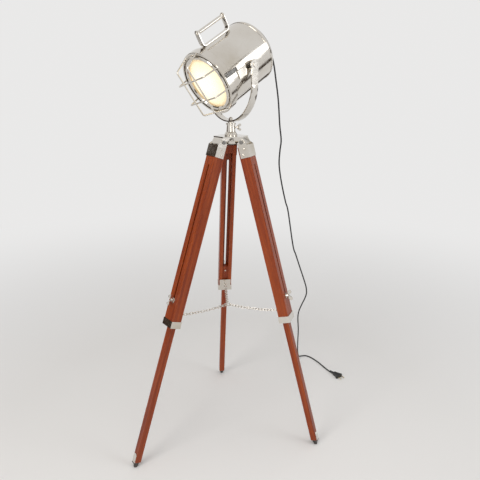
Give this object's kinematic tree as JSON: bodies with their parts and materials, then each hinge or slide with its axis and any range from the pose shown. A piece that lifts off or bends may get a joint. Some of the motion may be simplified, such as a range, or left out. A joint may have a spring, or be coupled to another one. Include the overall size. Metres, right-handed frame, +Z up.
{
  "type": "tripod spotlight floor lamp",
  "caption": "Floor lamp with a drum spotlight in a yoke on a folding wooden tripod with telescopic legs, chains and a wire lens guard.",
  "frame": {"origin": "on the floor, straight below the lamp stem", "axes": "+Z up, +Y towards the back leg, +X to the right seen from the front"},
  "size_m": [0.9227, 0.6677, 1.4915],
  "materials": {
    "polished_metal": "polished nickel plate with warm reflections",
    "stained_wood": "red-brown stain, satin lacquer",
    "dark_steel": "dull dark steel",
    "reflector": "bright",
    "black_plastic": "satin",
    "bulb_glass": "opal",
    "frosted_lens": "frosted, warm when lit",
    "brass_pins": "plain",
    "cord_sheath": "smooth sheath"
  },
  "bodies": {
    "base": {"hub_casting": "polished_metal", "hub_bottom_plate": "polished_metal", "leg_hinge_pins": "dark_steel", "stem_socket": "polished_metal", "socket_bolt": "dark_steel", "chain_ring": "polished_metal", "power_cord": "cord_sheath", "plug": "black_plastic", "plug_pins": "brass_pins", "left_chain": "polished_metal", "right_chain": "polished_metal", "back_chain": "polished_metal"},
    "clamp_screw": {"stem_clamp_screw": "polished_metal"},
    "yoke": {"swivel_stem": "polished_metal", "yoke": "polished_metal", "yoke_nut": "polished_metal", "tilt_bolts": "polished_metal", "tilt_washers": "dark_steel"},
    "head": {"lamp_body": "polished_metal", "trunnion_plates": "polished_metal", "rear_cap": "polished_metal", "reflector": "reflector", "lamp_holder": "black_plastic", "bulb": "bulb_glass", "handle_bracket": "polished_metal", "handle_grip": "polished_metal", "handle_screws": "dark_steel", "cable_gland": "black_plastic", "bezel_hinge": "polished_metal", "bezel_hinge_pin": "dark_steel", "clip_keeper": "polished_metal"},
    "bezel_door": {"bezel": "polished_metal", "lens": "frosted_lens", "lens_retainer": "polished_metal", "wire_guard": "polished_metal", "spring_clip": "dark_steel"},
    "left_leg": {"left_bracket": "polished_metal", "bracket_screws_left": "dark_steel", "left_upper_leg": "stained_wood", "left_band": "polished_metal"},
    "left_slider": {"left_lower_leg": "stained_wood", "left_foot": "dark_steel"},
    "left_wing": {"left_wing_bolt": "polished_metal"},
    "right_leg": {"right_bracket": "polished_metal", "bracket_screws_right": "dark_steel", "right_upper_leg": "stained_wood", "right_band": "polished_metal"},
    "right_slider": {"right_lower_leg": "stained_wood", "right_foot": "dark_steel"},
    "right_wing": {"right_wing_bolt": "polished_metal"},
    "back_leg": {"back_bracket": "polished_metal", "bracket_screws_back": "dark_steel", "back_upper_leg": "stained_wood", "back_band": "polished_metal"},
    "back_slider": {"back_lower_leg": "stained_wood", "back_foot": "dark_steel"},
    "back_wing": {"back_wing_bolt": "polished_metal"}
  },
  "joints": [
    {"name": "head_pan", "type": "hinge", "parent": "base", "child": "yoke", "pos_m": [0, 0, 1.14], "axis": [0, 0, 1], "range_deg": [-100, 100], "deforming": ["power_cord"]},
    {"name": "head_tilt", "type": "hinge", "parent": "yoke", "child": "head", "pos_m": [0, 0, 1.338], "axis": [0.5446, -0.8387, 0], "range_deg": [-75, 22], "deforming": ["power_cord"]},
    {"name": "bezel_open", "type": "hinge", "parent": "head", "child": "bezel_door", "pos_m": [-0.11179, 0.05793, 1.27407], "axis": [0.5299, 0.0921, -0.843], "range_deg": [0, 100]},
    {"name": "clamp_turn", "type": "hinge", "parent": "base", "child": "clamp_screw", "pos_m": [0.02, 0, 1.145], "axis": [1, 0, 0], "continuous": true},
    {"name": "left_fold", "type": "hinge", "parent": "base", "child": "left_leg", "pos_m": [-0.04157, -0.024, 1.1], "axis": [0.5, -0.866, 0], "range_deg": [0, 18.8], "deforming": ["left_chain"]},
    {"name": "left_slide", "type": "slide", "parent": "left_leg", "child": "left_slider", "axis": [0.2791, 0.1611, 0.9466], "range_m": [0, 0.41]},
    {"name": "left_wing_turn", "type": "hinge", "parent": "left_slider", "child": "left_wing", "pos_m": [-0.21583, -0.12461, 0.58962], "axis": [-0.8198, -0.4733, 0.3223], "continuous": true},
    {"name": "right_fold", "type": "hinge", "parent": "base", "child": "right_leg", "pos_m": [0.04157, -0.024, 1.1], "axis": [0.5, 0.866, 0], "range_deg": [0, 15.2], "deforming": ["right_chain"]},
    {"name": "right_slide", "type": "slide", "parent": "right_leg", "child": "right_slider", "axis": [-0.2271, 0.1311, 0.965], "range_m": [0, 0.41]},
    {"name": "right_wing_turn", "type": "hinge", "parent": "right_slider", "child": "right_wing", "pos_m": [0.18773, -0.10838, 0.57799], "axis": [0.8357, -0.4825, 0.2622], "continuous": true},
    {"name": "back_fold", "type": "hinge", "parent": "base", "child": "back_leg", "pos_m": [0, 0.048, 1.1], "axis": [-1, 0, 0], "range_deg": [0, 15.6], "deforming": ["back_chain"]},
    {"name": "back_slide", "type": "slide", "parent": "back_leg", "child": "back_slider", "axis": [0, -0.2689, 0.9632], "range_m": [0, 0.41]},
    {"name": "back_wing_turn", "type": "hinge", "parent": "back_slider", "child": "back_wing", "pos_m": [0, 0.22041, 0.57918], "axis": [0, 0.9632, 0.2689], "continuous": true}
  ]
}
